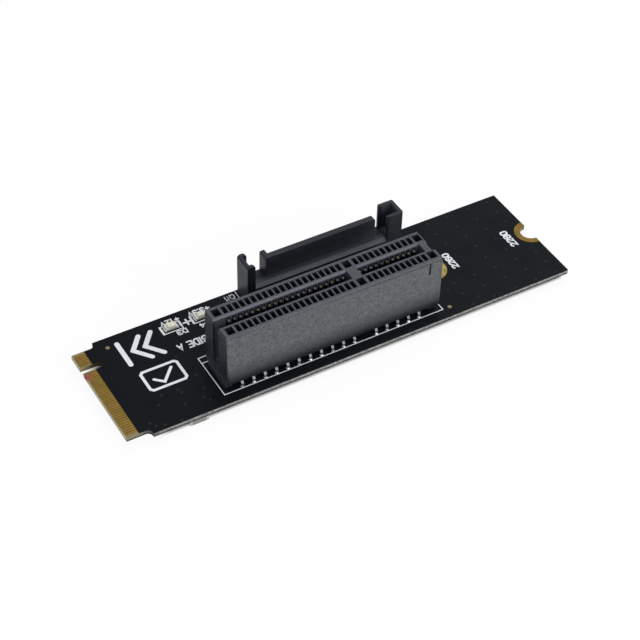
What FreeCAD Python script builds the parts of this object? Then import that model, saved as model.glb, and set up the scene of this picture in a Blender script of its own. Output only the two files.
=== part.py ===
import FreeCAD, Part
import math
import os

from FreeCAD import Vector

# Riser card: a gumstick plug-in board that carries a four-lane card slot and a power header.
# Millimetres. +X runs from the edge contacts to the screw end, +Y to the power header side, +Z up.
# The origin is under the middle of the board, level with the tips of the solder tails.

# Board
board_length = 80.0
board_width = 22.0
board_thickness = 0.8
board_corner_radius = 0.15
tongue_length = 4.0
tongue_width = 19.85
shoulder_radius = 0.8
leading_bevel = 0.1
key_notch_width = 1.2
key_notch_depth = 3.5
key_notch_offset = 6.125

# Plated contacts on both faces of the tongue
finger_pitch = 0.5
finger_width = 0.35
finger_length = 1.9
finger_setback = 0.15
finger_side_margin = 0.675
finger_key_clearance = 0.4
plating = 0.04

# Screw places: the half-round end notch and the through hole of the shorter card length
screw_radius = 1.75
screw_pad_radius = 2.75
screw_hole_inset = 20.0

# Solder tails
tail_reach = 1.5
tail_hole_gap = 0.1
solder_radius = 0.46
solder_tip_radius = 0.28
solder_height = 0.4
solder_sides = 6

# Card slot: section offsets run outward from the slot's middle plane, heights from the board's top
slot_key_from_edge = 41.84
slot_edge_gap = 2.2
card_gap = 1.8
slot_lead_in = 0.25
slot_rail = 0.3
cavity_reach = 1.6
slot_outer_wall = 0.6
slot_height = 11.3
slot_standoff = 1.3
slot_depth = 8.3
slot_rail_height = 0.6
slot_band_height = 0.55
slot_band_setback = 0.12
slot_corner_radius = 0.4
slot_pitch = 1.0
slot_key_span = 3.0
slot_key_wall = 1.75
slot_long_count = 21
slot_short_count = 11
slot_long_margin = 2.75
slot_short_margin = 2.35
slot_end_travel = 0.9
slot_nose = 0.25
slot_nose_width = 2.3
slot_end_recess = 0.4
slot_end_recess_width = 1.9
cavity_width = 0.72
blind_pocket_length = 1.25
blind_pocket_depth = 5.0
pocket_rib = 0.4
slot_groove_width = 0.42
slot_groove_depth = 0.3
slot_groove_height = 2.2
slot_groove_inset = 2.3
slot_foot_length = 1.3
slot_foot_inset = 0.9
slot_key_peg_radius = 1.15
slot_end_peg_radius = 0.75
peg_clearance = 0.05
peg_reach = 0.6

# Contacts in the slot
contact_width = 0.45
contact_thickness = 0.25
contact_bump = 0.18
contact_bump_depth = 1.2
contact_tip_depth = 0.7
contact_tip_gap = 0.18
contact_stem_rise = 1.4
contact_inner_rise = 0.6
tail_outset = 0.475
tail_bend_gap = 0.05
tail_bend_drop = 0.15

# Power header: a blade between two guide towers on one base
power_blade_from_edge = 43.83
power_edge_gap = 0.6
power_width = 3.65
power_height = 8.05
power_base_height = 3.3
power_blade_height = 7.15
power_blade_thickness = 1.1
power_blade_setback = 1.0
power_blade_margin = 1.35
power_leg_thickness = 0.9
power_ledge_slope = 0.85
power_ledge_drop = 0.3
power_corner_radius = 0.3
power_blade_corner = 0.35
tower_wall = 0.6
left_tower_depth = 1.45
left_tower_gap = 2.62
left_tower_slope = 0.4
right_tower_depth = 2.95
right_tower_gap = 1.45
power_core_height = 1.1
power_core_wall = 0.6
power_contact_count = 15
power_contact_pitch = 1.27
power_contact_width = 0.7
power_contact_thickness = 0.3
power_contact_tip = 0.5
power_row_pitch = 1.35
power_bend_rise = 0.35
power_bend_drop = 0.15

# Indicator lights
led_length = 2.0
led_width = 1.25
led_base_thickness = 0.25
led_lens_length = 1.35
led_lens_height = 0.45
led_lens_draft = 0.12
led_terminal_length = 0.32
led_terminal_thickness = 0.06
led_from_edge = 16.45
led_spacing = 5.3
led_edge_gap = 2.15

# Chip parts on the underside
resistor_length = 1.6
resistor_width = 0.8
resistor_thickness = 0.45
resistor_cap_length = 0.3
resistor_inset = 3.6
capacitor_length = 3.2
capacitor_width = 1.6
capacitor_thickness = 1.1
capacitor_cap_length = 0.5
capacitor_from_edge = 11.8
capacitor_edge_gap = 0.2

# Levels and lines that the pieces share
edge_x = -board_length / 2
end_x = board_length / 2
near_y = -board_width / 2
far_y = board_width / 2
screw_hole_x = end_x - screw_hole_inset
board_bottom = tail_reach
board_top = board_bottom + board_thickness

rail_face = card_gap / 2
lead_in_face = rail_face + slot_lead_in
cavity_inner = lead_in_face + slot_rail
cavity_outer = cavity_inner + cavity_reach
slot_half_width = cavity_outer + slot_outer_wall
slot_y = near_y + slot_edge_gap + slot_half_width
slot_x = edge_x + slot_key_from_edge
slot_top = board_top + slot_height
slot_floor = slot_top - slot_depth
slot_under = board_top + slot_standoff
rail_under = slot_top - slot_rail_height
slot_left = slot_x - slot_key_span / 2 - (slot_long_count - 1) * slot_pitch - slot_long_margin
slot_last = slot_x + slot_key_span / 2 + (slot_short_count - 1) * slot_pitch
slot_right = slot_last + slot_short_margin
FRONT = -1
BACK = 1
same_place = 1e-6

blade_x = edge_x + power_blade_from_edge
blade_half = (power_contact_count - 1) * power_contact_pitch / 2 + power_blade_margin
blade_left = blade_x - blade_half
blade_right = blade_x + blade_half
power_left = blade_left - left_tower_gap - left_tower_depth
power_right = blade_right + right_tower_gap + right_tower_depth
power_far = far_y - power_edge_gap
power_near = power_far - power_width
blade_far = power_far - power_blade_setback
blade_near = blade_far - power_blade_thickness
power_base_top = board_top + power_base_height
power_blade_top = board_top + power_blade_height
power_top = board_top + power_height
power_core_top = board_top + power_core_height
power_row_y = blade_far - power_contact_thickness / 2
power_second_row_y = power_row_y - power_row_pitch


# Shape helpers

def box(x0, x1, y0, y1, z0, z1):
    return Part.makeBox(x1 - x0, y1 - y0, z1 - z0, Vector(x0, y0, z0))


def rounded_wire(corners, z):
    """Closed outline through (x, y, radius) corners, with a tangent arc at each corner that has a radius."""
    edges = []
    joints = []
    count = len(corners)
    for i in range(count):
        x, y, radius = corners[i]
        corner = Vector(x, y, z)
        before = Vector(corners[i - 1][0], corners[i - 1][1], z) - corner
        after = Vector(corners[(i + 1) % count][0], corners[(i + 1) % count][1], z) - corner
        before.normalize()
        after.normalize()
        half_angle = before.getAngle(after) / 2
        reach = radius / math.tan(half_angle)
        start = corner + before * reach
        stop = corner + after * reach
        middle = before + after
        middle.normalize()
        middle = corner + middle * (radius / math.sin(half_angle) - radius)
        if radius > 0:
            edges.append(Part.Arc(start, middle, stop).toShape())
        joints.append((start, stop))
    for i in range(count):
        start = joints[i - 1][1]
        stop = joints[i][0]
        if (stop - start).Length > same_place:
            edges.append(Part.makeLine(start, stop))
    return Part.Wire(Part.__sortEdges__(edges))


def rounded_slab(x0, x1, y0, y1, z0, z1, radius):
    corners = [(x0, y0, radius), (x1, y0, radius), (x1, y1, radius), (x0, y1, radius)]
    return Part.Face(rounded_wire(corners, z0)).extrude(Vector(0, 0, z1 - z0))


def rectangle(x, y, length, width, z):
    return [Vector(x - length / 2, y - width / 2, z), Vector(x + length / 2, y - width / 2, z),
            Vector(x + length / 2, y + width / 2, z), Vector(x - length / 2, y + width / 2, z)]


def closed(corners):
    return Part.makePolygon(corners + corners[:1])


def circle(x, y, radius, z):
    return Part.Wire([Part.makeCircle(radius, Vector(x, y, z))])


def prism_along_x(points, x0, x1):
    """Solid of a (y, z) outline, swept straight from x0 to x1."""
    corners = [Vector(x0, y, z) for y, z in points]
    return Part.Face(closed(corners)).extrude(Vector(x1 - x0, 0, 0))


def prism_along_y(points, y0, y1):
    """Solid of an (x, z) outline, swept straight from y0 to y1."""
    corners = [Vector(x, y0, z) for x, z in points]
    return Part.Face(closed(corners)).extrude(Vector(0, y1 - y0, 0))


def frustum(foot, crown):
    """Flat-sided solid between two outlines with the same number of corners."""
    count = len(foot)
    faces = [Part.Face(closed(ring)) for ring in (foot, crown)]
    for i in range(count):
        k = (i + 1) % count
        faces.append(Part.Face(closed([foot[i], foot[k], crown[k], crown[i]])))
    return Part.Solid(Part.Shell(faces))


def strip_outline(line, thickness):
    """Outline of a bent metal strip of even thickness along a middle line of (y, z) points."""
    normals = []
    for (y0, z0), (y1, z1) in zip(line, line[1:]):
        length = math.hypot(y1 - y0, z1 - z0)
        normals.append(((z0 - z1) / length, (y1 - y0) / length))
    one_side = []
    other_side = []
    for i, (y, z) in enumerate(line):
        first = normals[max(i - 1, 0)]
        second = normals[min(i, len(normals) - 1)]
        sum_y = first[0] + second[0]
        sum_z = first[1] + second[1]
        scale = thickness / (sum_y * first[0] + sum_z * first[1]) / 2
        one_side.append((y + sum_y * scale, z + sum_z * scale))
        other_side.append((y - sum_y * scale, z - sum_z * scale))
    return one_side + other_side[::-1]


# Places of the contacts

def slot_contacts(outer_row):
    """X of the slot contacts whose tails stand in the outer or the inner row: every second one each."""
    places = []
    for k in range(slot_long_count):
        if (k % 2 == 0) == outer_row:
            places.append(slot_x - slot_key_span / 2 - k * slot_pitch)
    for k in range(slot_short_count):
        if (k % 2 == 1) == outer_row:
            places.append(slot_x + slot_key_span / 2 + k * slot_pitch)
    return places


outer_row_offset = cavity_outer - contact_thickness / 2 + tail_outset
inner_row_offset = cavity_inner + contact_thickness / 2


def power_contacts(stepped):
    """X of the power contacts whose tails run straight down, or of those that step to the second row."""
    first = blade_x - (power_contact_count - 1) * power_contact_pitch / 2
    return [first + k * power_contact_pitch for k in range(power_contact_count) if (k % 2 == 1) == stepped]


slot_pegs = [(slot_x, slot_y, slot_key_peg_radius),
             (slot_left + slot_foot_length, slot_y, slot_end_peg_radius)]


# Board and its plating

def tail_openings():
    openings = []
    length = contact_width + 2 * tail_hole_gap
    width = contact_thickness + 2 * tail_hole_gap
    for side in (FRONT, BACK):
        for outer, offset in ((True, outer_row_offset), (False, inner_row_offset)):
            for x in slot_contacts(outer):
                openings.append(closed(rectangle(x, slot_y + side * offset, length, width, board_bottom)))
    length = power_contact_width + 2 * tail_hole_gap
    width = power_contact_thickness + 2 * tail_hole_gap
    for stepped, y in ((False, power_row_y), (True, power_second_row_y)):
        for x in power_contacts(stepped):
            openings.append(closed(rectangle(x, y, length, width, board_bottom)))
    return openings


def circuit_board():
    half_tongue = tongue_width / 2
    key_near = key_notch_offset - key_notch_width / 2
    key_far = key_notch_offset + key_notch_width / 2
    key_round = key_notch_width / 2
    shoulder_x = edge_x + tongue_length
    notch = screw_radius + plating
    outline = rounded_wire([
        (edge_x, -half_tongue, 0),
        (shoulder_x, -half_tongue, shoulder_radius),
        (shoulder_x, near_y, 0),
        (end_x, near_y, board_corner_radius),
        (end_x, -notch, 0),
        (end_x - notch, -notch, notch),
        (end_x - notch, notch, notch),
        (end_x, notch, 0),
        (end_x, far_y, board_corner_radius),
        (shoulder_x, far_y, 0),
        (shoulder_x, half_tongue, shoulder_radius),
        (edge_x, half_tongue, 0),
        (edge_x, key_far, 0),
        (edge_x + key_notch_depth, key_far, key_round),
        (edge_x + key_notch_depth, key_near, key_round),
        (edge_x, key_near, 0)], board_bottom)
    holes = [circle(screw_hole_x, 0, screw_radius, board_bottom)]
    for x, y, radius in slot_pegs:
        holes.append(circle(x, y, radius + peg_clearance, board_bottom))
    face = Part.makeFace([outline] + holes + tail_openings(), "Part::FaceMakerBullseye")
    board = face.extrude(Vector(0, 0, board_thickness))
    leading = [edge for edge in board.Edges
               if abs(edge.BoundBox.XMax - edge_x) < same_place and edge.BoundBox.ZLength < same_place]
    return board.makeChamfer(leading_bevel, leading)


def edge_contacts(count, z0):
    """One row of plated fingers, left out where the key notch is."""
    fingers = []
    x0 = edge_x + finger_setback
    for i in range(count):
        y = (i - (count - 1) / 2) * finger_pitch
        if abs(y - key_notch_offset) < key_notch_width / 2 + finger_key_clearance:
            continue
        fingers.append(box(x0, x0 + finger_length, y - finger_width / 2, y + finger_width / 2, z0, z0 + plating))
    return Part.makeCompound(fingers)


def screw_hole_ring():
    """Bare copper ring round the through hole, on the board's top face."""
    faces = [circle(screw_hole_x, 0, radius, board_top) for radius in (screw_pad_radius, screw_radius)]
    return Part.makeFace(faces, "Part::FaceMakerBullseye").extrude(Vector(0, 0, plating))


def end_notch_plating():
    """Plated rim of the end notch: half a ring on the board's top face and the lining of the notch."""
    lined = screw_radius + plating
    profile = [(screw_pad_radius, board_top + plating), (screw_radius, board_top + plating),
               (screw_radius, board_bottom), (lined, board_bottom),
               (lined, board_top), (screw_pad_radius, board_top)]
    face = Part.Face(closed([Vector(end_x, r, z) for r, z in profile]))
    return face.revolve(Vector(end_x, 0, 0), Vector(0, 0, 1), 180)


# Card slot

def slot_offset(side, points):
    return [(slot_y + side * offset, z) for offset, z in points]


def slot_cavity(side, x):
    """Room of one contact: open at the top, under the rail into the card slot, and at the underside."""
    points = [(cavity_outer, slot_top), (cavity_outer, slot_under),
              (cavity_inner, slot_under), (cavity_inner, slot_floor),
              (rail_face, slot_floor), (rail_face, rail_under),
              (cavity_inner, rail_under), (cavity_inner, slot_top)]
    return prism_along_x(slot_offset(side, points), x - cavity_width / 2, x + cavity_width / 2)


def card_space(x0, x1):
    """Room for the card between the rails, with its sloped lead-in."""
    lead_in_z = slot_top - slot_lead_in
    points = [(-rail_face, slot_floor), (rail_face, slot_floor), (rail_face, lead_in_z),
              (lead_in_face, slot_top), (-lead_in_face, slot_top), (-rail_face, lead_in_z)]
    return prism_along_x(slot_offset(BACK, points), x0, x1)


def slot_block():
    """Moulded body: a full lower block and a narrow band set back at the top, with a nose at one end."""
    front = slot_y - slot_half_width
    back = slot_y + slot_half_width
    step = slot_top - slot_band_height
    inset = slot_band_setback
    radius = slot_corner_radius
    nose_start = slot_last + slot_end_travel
    solids = [rounded_slab(slot_left, slot_right, front, back, slot_under, step, radius),
              box(slot_left + inset, slot_right - inset, front + inset, back - inset, step, slot_top),
              box(nose_start, slot_right + slot_nose, front, front + slot_nose_width, slot_under, step),
              box(nose_start, slot_right + slot_nose - inset, front + inset,
                  front + slot_nose_width - inset, step, slot_top)]
    foot_near = front + slot_foot_inset
    foot_far = back - slot_foot_inset
    solids.append(box(slot_left, slot_left + slot_foot_length, foot_near, foot_far, board_top, slot_under))
    solids.append(box(slot_right - slot_foot_length, slot_right, foot_near, foot_far, board_top, slot_under))
    peg_end = board_top - peg_reach
    for x, y, peg_radius in slot_pegs:
        solids.append(Part.makeCylinder(peg_radius, slot_under - peg_end, Vector(x, y, peg_end)))
    return solids[0].multiFuse(solids[1:]).removeSplitter()


def slot_blind_pockets(side):
    """Cored pockets past the ends of the contact row and beside the key."""
    first = slot_x - slot_key_span / 2 - (slot_long_count - 1) * slot_pitch
    beside = cavity_width / 2 + pocket_rib + blind_pocket_length / 2
    pockets = []
    for x in (first - beside, slot_x, slot_last + beside):
        points = [(cavity_inner, slot_top - blind_pocket_depth), (cavity_outer, slot_top - blind_pocket_depth),
                  (cavity_outer, slot_top), (cavity_inner, slot_top)]
        pockets.append(prism_along_x(slot_offset(side, points),
                                     x - blind_pocket_length / 2, x + blind_pocket_length / 2))
    return pockets


def slot_housing():
    key_half = slot_key_wall / 2
    cuts = [card_space(slot_left, slot_x - key_half),
            card_space(slot_x + key_half, slot_last + slot_end_travel)]
    for side in (FRONT, BACK):
        for x in slot_contacts(True) + slot_contacts(False):
            cuts.append(slot_cavity(side, x))
        cuts += slot_blind_pockets(side)
    front = slot_y - slot_half_width
    groove_x = slot_right - slot_groove_inset
    groove_top = slot_top - slot_band_height
    cuts.append(box(groove_x, groove_x + slot_groove_width, front, front + slot_groove_depth,
                    groove_top - slot_groove_height, groove_top))
    recess_near = front + slot_nose_width
    cuts.append(box(slot_right - slot_end_recess, slot_right, recess_near, recess_near + slot_end_recess_width,
                    board_top, slot_top))
    return slot_block().cut(cuts)


def slot_contact_row(side, outer_row):
    """Sprung strips that bulge into the card slot, with tails that go down through the board."""
    bump = (rail_face - contact_bump, slot_top - contact_bump_depth)
    tip = (cavity_inner + contact_thickness / 2 + contact_tip_gap, slot_top - contact_tip_depth)
    if outer_row:
        stem = cavity_outer - contact_thickness / 2
        line = [(outer_row_offset, 0), (outer_row_offset, board_top + solder_height + tail_bend_gap),
                (stem, slot_under - tail_bend_drop), (stem, slot_floor + contact_stem_rise), bump, tip]
    else:
        line = [(inner_row_offset, 0), (inner_row_offset, slot_floor + contact_inner_rise), bump, tip]
    outline = slot_offset(side, strip_outline(line, contact_thickness))
    strips = [prism_along_x(outline, x - contact_width / 2, x + contact_width / 2)
              for x in slot_contacts(outer_row)]
    return Part.makeCompound(strips)


def polygon_ring(x, y, radius, z):
    angles = [2 * math.pi * (k + 0.5) / solder_sides for k in range(solder_sides)]
    return [Vector(x + radius * math.cos(angle), y + radius * math.sin(angle), z) for angle in angles]


def slot_solder():
    """Solder that has risen round the front row of tails, on the board's top face."""
    y = slot_y + FRONT * outer_row_offset
    joints = []
    for x in slot_contacts(True):
        foot = polygon_ring(x, y, solder_radius, board_top)
        tip = polygon_ring(x, y, solder_tip_radius, board_top + solder_height)
        tail = box(x - contact_width / 2, x + contact_width / 2,
                   y - contact_thickness / 2, y + contact_thickness / 2, 0, slot_under)
        joints.append(frustum(foot, tip).cut(tail))
    return Part.makeCompound(joints)


# Power header

def left_tower():
    """Guide channel that opens towards the blade, with both top edges sloped off."""
    x0 = power_left
    x1 = power_left + left_tower_depth
    slope = left_tower_slope
    outline = [(x0, power_base_top), (x1, power_base_top), (x1, power_top - slope), (x1 - slope, power_top),
               (x0 + slope, power_top), (x0, power_top - slope)]
    tower = prism_along_y(outline, power_near, power_far)
    channel = box(x0 + tower_wall, x1, power_near + tower_wall, power_far - tower_wall,
                  power_base_top, power_top)
    return tower.cut(channel)


def right_tower():
    """Guide box that opens towards the blade."""
    x0 = power_right - right_tower_depth
    tower = rounded_slab(x0, power_right, power_near, power_far, power_base_top, power_top,
                         power_corner_radius)
    inside = box(x0, power_right - tower_wall, power_near + tower_wall, power_far - tower_wall,
                 power_base_top, power_top)
    return tower.cut(inside)


def end_rounded(bar, ends):
    """The blade or its leg with the top corner rounded at the given X ends."""
    top_edges = [edge for edge in bar.Edges
                 if all(abs(corner.Z - power_blade_top) < same_place for corner in edge.Vertexes)]
    chosen = [edge for edge in top_edges
              if any(all(abs(corner.X - x) < same_place for corner in edge.Vertexes) for x in ends)]
    return bar.makeFillet(power_blade_corner, chosen)


def power_housing():
    blade = box(blade_left, blade_right, blade_near, blade_far, power_base_top, power_blade_top)
    leg = box(blade_left, blade_left + power_leg_thickness, blade_far, power_far,
              power_base_top, power_blade_top)
    outline = [(power_left, power_near, 0), (power_right, power_near, power_corner_radius),
               (power_right, power_far, power_corner_radius), (power_left, power_far, 0)]
    solids = [Part.Face(rounded_wire(outline, board_top)).extrude(Vector(0, 0, power_base_height)),
              end_rounded(blade, (blade_left, blade_right)), end_rounded(leg, (blade_left,)),
              left_tower(), right_tower()]
    body = solids[0].multiFuse(solids[1:]).removeSplitter()
    ledge = [(power_near, power_base_top), (power_near + power_ledge_slope, power_base_top),
             (power_near, power_base_top - power_ledge_drop)]
    cuts = [prism_along_x(ledge, power_left + left_tower_depth, power_right - right_tower_depth),
            box(blade_left, blade_right, power_near + power_core_wall, power_far - power_core_wall,
                board_top, power_core_top)]
    for x in power_contacts(False) + power_contacts(True):
        cuts.append(box(x - power_contact_width / 2, x + power_contact_width / 2,
                        blade_far - power_contact_thickness, blade_far,
                        board_top, power_blade_top - power_contact_tip))
    return body.cut(cuts)


def power_contact_row(stepped):
    """Flat contacts let into the blade's far face, with tails in two rows."""
    top = power_blade_top - power_contact_tip
    line = [(power_row_y, top), (power_row_y, 0)]
    if stepped:
        line = [(power_row_y, top), (power_row_y, power_core_top - power_bend_drop),
                (power_second_row_y, board_top + power_bend_rise), (power_second_row_y, 0)]
    outline = strip_outline(line, power_contact_thickness)
    strips = [prism_along_x(outline, x - power_contact_width / 2, x + power_contact_width / 2)
              for x in power_contacts(stepped)]
    return Part.makeCompound(strips)


# Small parts

led_y = far_y - led_edge_gap - led_width / 2
led_places = [edge_x + led_from_edge + k * led_spacing for k in range(2)]


def led_terminal(x, side):
    """Metal clip round one end of a light's base."""
    skin = led_terminal_thickness
    low = board_top
    high = board_top + led_base_thickness + 2 * skin
    end = x + side * led_length / 2
    inner = x + side * (led_length / 2 - led_terminal_length)
    wall = end - side * skin
    points = [(inner, low), (end, low), (end, high), (inner, high),
              (inner, high - skin), (wall, high - skin), (wall, low + skin), (inner, low + skin)]
    return prism_along_y(points, led_y - led_width / 2, led_y + led_width / 2)


def led_terminals(x):
    return Part.makeCompound([led_terminal(x, -1), led_terminal(x, 1)])


def led_base(x):
    half = led_length / 2 - led_terminal_thickness
    low = board_top + led_terminal_thickness
    return box(x - half, x + half, led_y - led_width / 2, led_y + led_width / 2, low, low + led_base_thickness)


def led_lens(x):
    """Cast lens with drafted sides."""
    low = board_top + led_terminal_thickness + led_base_thickness
    high = low + led_lens_height
    foot = rectangle(x, led_y, led_lens_length, led_width, low)
    crown = rectangle(x, led_y, led_lens_length - 2 * led_lens_draft, led_width - 2 * led_lens_draft, high)
    return frustum(foot, crown)


def chip_body(x, y, length, width, thickness, cap_length):
    half = length / 2 - cap_length
    return box(x - half, x + half, y - width / 2, y + width / 2, board_bottom - thickness, board_bottom)


def chip_caps(x, y, length, width, thickness, cap_length):
    """The two metal ends of a chip part on the underside."""
    caps = []
    for x0 in (x - length / 2, x + length / 2 - cap_length):
        caps.append(box(x0, x0 + cap_length, y - width / 2, y + width / 2, board_bottom - thickness, board_bottom))
    return Part.makeCompound(caps)


# All nodes

finger_count = math.floor((tongue_width - 2 * finger_side_margin) / finger_pitch + 0.001) + 1
nodes = {
    "circuit_board": circuit_board(),
    "edge_contacts_top": edge_contacts(finger_count, board_top),
    "edge_contacts_bottom": edge_contacts(finger_count - 1, board_bottom - plating),
    "end_notch_plating": end_notch_plating(),
    "screw_hole_ring": screw_hole_ring(),
    "slot_housing": slot_housing(),
    "slot_contacts_front_outer": slot_contact_row(FRONT, True),
    "slot_contacts_front_inner": slot_contact_row(FRONT, False),
    "slot_contacts_back_outer": slot_contact_row(BACK, True),
    "slot_contacts_back_inner": slot_contact_row(BACK, False),
    "slot_solder_front": slot_solder(),
    "power_header_housing": power_housing(),
    "power_contacts_straight": power_contact_row(False),
    "power_contacts_stepped": power_contact_row(True),
}
for name, x in zip(("first", "second"), led_places):
    nodes[name + "_led_base"] = led_base(x)
    nodes[name + "_led_lens"] = led_lens(x)
    nodes[name + "_led_terminals"] = led_terminals(x)
    resistor = (x, led_y - resistor_inset, resistor_length, resistor_width, resistor_thickness, resistor_cap_length)
    nodes[name + "_resistor_body"] = chip_body(*resistor)
    nodes[name + "_resistor_caps"] = chip_caps(*resistor)
capacitor = (edge_x + capacitor_from_edge, near_y + capacitor_edge_gap + capacitor_width / 2,
             capacitor_length, capacitor_width, capacitor_thickness, capacitor_cap_length)
nodes["capacitor_body"] = chip_body(*capacitor)
nodes["capacitor_caps"] = chip_caps(*capacitor)

os.makedirs("parts", exist_ok=True)
for name, shape in nodes.items():
    shape.exportStep("parts/" + name + ".step")
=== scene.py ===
import math
import random

import bmesh
import bpy
from mathutils import Matrix, Vector


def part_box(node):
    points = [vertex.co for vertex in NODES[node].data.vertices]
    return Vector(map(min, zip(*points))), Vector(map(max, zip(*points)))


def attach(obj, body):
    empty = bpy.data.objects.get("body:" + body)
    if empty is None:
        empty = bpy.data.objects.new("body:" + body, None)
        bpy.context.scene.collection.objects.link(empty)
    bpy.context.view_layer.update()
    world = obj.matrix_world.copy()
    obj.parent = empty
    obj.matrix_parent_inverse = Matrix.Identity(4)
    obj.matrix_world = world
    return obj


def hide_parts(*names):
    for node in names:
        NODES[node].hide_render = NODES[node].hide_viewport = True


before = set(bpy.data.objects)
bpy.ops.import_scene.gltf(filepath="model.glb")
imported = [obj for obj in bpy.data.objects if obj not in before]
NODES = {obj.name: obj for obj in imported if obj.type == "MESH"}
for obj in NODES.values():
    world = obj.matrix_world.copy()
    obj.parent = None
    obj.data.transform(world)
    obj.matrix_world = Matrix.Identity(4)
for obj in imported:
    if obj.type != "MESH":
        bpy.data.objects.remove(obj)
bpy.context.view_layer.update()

# Looks of the riser card: finishes, softened edges, solder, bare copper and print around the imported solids.
# Sizes are in millimetres and are turned to metres by MM where a mesh is made.

MM = 0.001
ROOT = "root"


def node_box(name):
    """Low and high corner of a solid's box, in millimetres."""
    low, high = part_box(name)
    return low / MM, high / MM


# Shared levels, read from the solids
board_low, board_high = node_box("circuit_board")
BOARD_TOP = board_high.z
BOARD_BOTTOM = board_low.z
EDGE_X = board_low.x
END_X = board_high.x
BOARD_HALF = board_high.y
FINGERS_END_X = node_box("edge_contacts_top")[1].x
ring_low, ring_high = node_box("screw_hole_ring")
RING_X = (ring_low.x + ring_high.x) / 2
RING_RADIUS = (ring_high.x - ring_low.x) / 2
PLATING = ring_high.z - ring_low.z
slot_low, slot_high = node_box("slot_housing")
SLOT_MID_X = (slot_low.x + slot_high.x) / 2
SLOT_MID_Y = (slot_low.y + slot_high.y) / 2
SLOT_HALF_LENGTH = (slot_high.x - slot_low.x) / 2
header_low, header_high = node_box("power_header_housing")
HEADER_MID_Y = (header_low.y + header_high.y) / 2
HEADER_HALF = (header_high.y - header_low.y) / 2

# Rows of contacts, as their nodes are named
SLOT_ROWS = ("front_outer", "front_inner", "back_outer", "back_inner")
POWER_ROWS = ("straight", "stepped")

# Least part of a face's direction along an axis for it to count as facing that way
FLAT_FACE = 0.9
TURNED_FACE = 0.6
LEDGE_FACE = 0.5

# Bare laminate and ink on the contact end of the board
BARE_BAND_MARGIN = 0.04
MASK_LIP = 0.06
KEY_NOTCH_Y = 6.125
KEY_NOTCH_HALF = 0.62
KEY_NOTCH_REACH = 3.6
BARE_KEY_REACH = 0.82
BARE_SIDE_START = 9.24
BEVEL_REACH = 0.35
INK_PLACE = (0.05, 4.5)
INK_RADIUS = 0.84
INK = (0.30, 0.055, 0.065, 1.0)

# Stretches over which the board's tones change, from the contact end, the painted shade in the key notch, and
# the painted shadow line from the underside
MASK_SHADE = (8.0, 30.0)
SHOULDER_SHADE = (4.1, 5.2)
TONGUE_SHADE = (2.2, 3.0)
NOTCH_SHADE = (0.3, 2.4)
PAINTED_SHADOW_LINE = (0.14, 0.38)

# Tones of the slot, with painted shade on its tops, ends, contact rooms and foot: heights from the board's
# top, depths from the slot's top, half widths from its middle
SLOT_LOW_SHADE = (1.6, 5.4)
SLOT_RIM_DEPTH = 2.0
SLOT_LIP_DEPTH = 0.06
SLOT_INSIDE = 3.2
CARD_ROOM_HALF = 1.42
SLOT_END_WALL = 0.45

# Tones of the slot's contact strips, with a painted highlight on each strip's bump
CONTACT_PITCH = 1.0
HIGHLIGHT_DEPTH = 1.10
HIGHLIGHT_HALF = (0.08, 0.11)
TINNED_HEIGHT = 2.6

# Tones of the power header, with painted light on its ledge, on the foot of its blade and in its box tower
HEADER_LEDGE = BOARD_TOP + 3.3
LEDGE_REACH = 1.55
LEDGE_SHADE = (0.55, 0.95)
BLADE_SHEEN = 2.2
TOWER_WALL = 0.6
LEFT_TOWER_END = header_low.x + 1.45
RIGHT_TOWER_START = header_high.x - 2.95
SKIN_MARGIN = 0.02

# Copper
SCREW_RADIUS = 1.75
LINING = 0.02
ALIGNMENT_DOTS = ((57.9, -9.05), (5.7, 8.83))
ALIGNMENT_RADIUS = 0.34

# Covered holes: places from the contact end and from the middle line, and areas that have no room for them
VIA_RADIUS = 0.24
VIA_RISE = 0.018
VIA_DOME = ((0.0, 1.0), (0.6, 0.85), (1.0, 0.5))
VIA_COLUMNS = (61.6, 65.7, 69.8, 73.9, 77.95)
VIA_ROWS = (-10.35, -7.5, -4.6, -1.7, 1.35, 4.2, 7.1, 10.0)
SIGNAL_VIAS = [(14.2, 1.9), (11.2, -4.6), (11.5, -5.4), (15.2, -3.1), (8.5, -4.5), (7.3, -6.1),
               (10.9, -7.8), (8.9, -10.6), (6.3, -10.2), (5.0, -9.8), (4.4, -8.9), (14.9, -6.3),
               (14.0, -7.9), (14.7, -8.9), (22.4, 2.1), (27.5, 3.4), (33.8, 2.7), (41.2, 3.6),
               (47.9, 2.4), (54.3, 3.1), (59.8, -5.7), (63.3, -9.2), (52.2, -10.4), (49.5, -10.4)]
TAKEN_ON_TOP = ((56.0, 66.0, -4.0, 4.0), (74.0, 80.0, -4.0, 3.5), (56.0, 62.0, 6.0, 11.0))
TAKEN_BELOW = ((9.0, 15.0, -11.0, -8.4), (14.0, 25.0, 4.0, 11.0), (17.0, 58.0, -9.0, 0.0))

# Solder
TIP_LEVEL = 0.01
TIP_GAP = 0.8
SOLDER_TOP_RADIUS = 0.38
SOLDER_TOP_HEIGHT = 0.38
SOLDER_TOP_TIP = 0.24
SOLDER_UNDER_RADIUS = 0.62
SOLDER_UNDER_HEIGHT = 0.85
SOLDER_UNDER_TIP = 0.27
POWER_SOLDER_TIP = 0.36
SOLDER_SEGMENTS = 16
SOLDER_RINGS = 7
SOLDER_HOLLOW = 2.1
SOLDER_SEED = 7
FILLET_STEPS = 5
FILLET_RINGS = 7
FILLET_HOLLOW = 2.2
FILLET_HEIGHTS = {"first_led_terminals": 0.26, "second_led_terminals": 0.26, "first_resistor_caps": 0.34,
                  "second_resistor_caps": 0.34, "capacitor_caps": 0.32}
FILLET_WIDTH_SHARE = 1.05
FILLET_REACH_SHARE = 1.1

# Angles in degrees: edges sharper than these stay sharp in a smooth piece or get rounded in a softened one
SOLDER_SMOOTH = 50
RING_SMOOTH = 40
ROUNDED_ANGLE = 30

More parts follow.
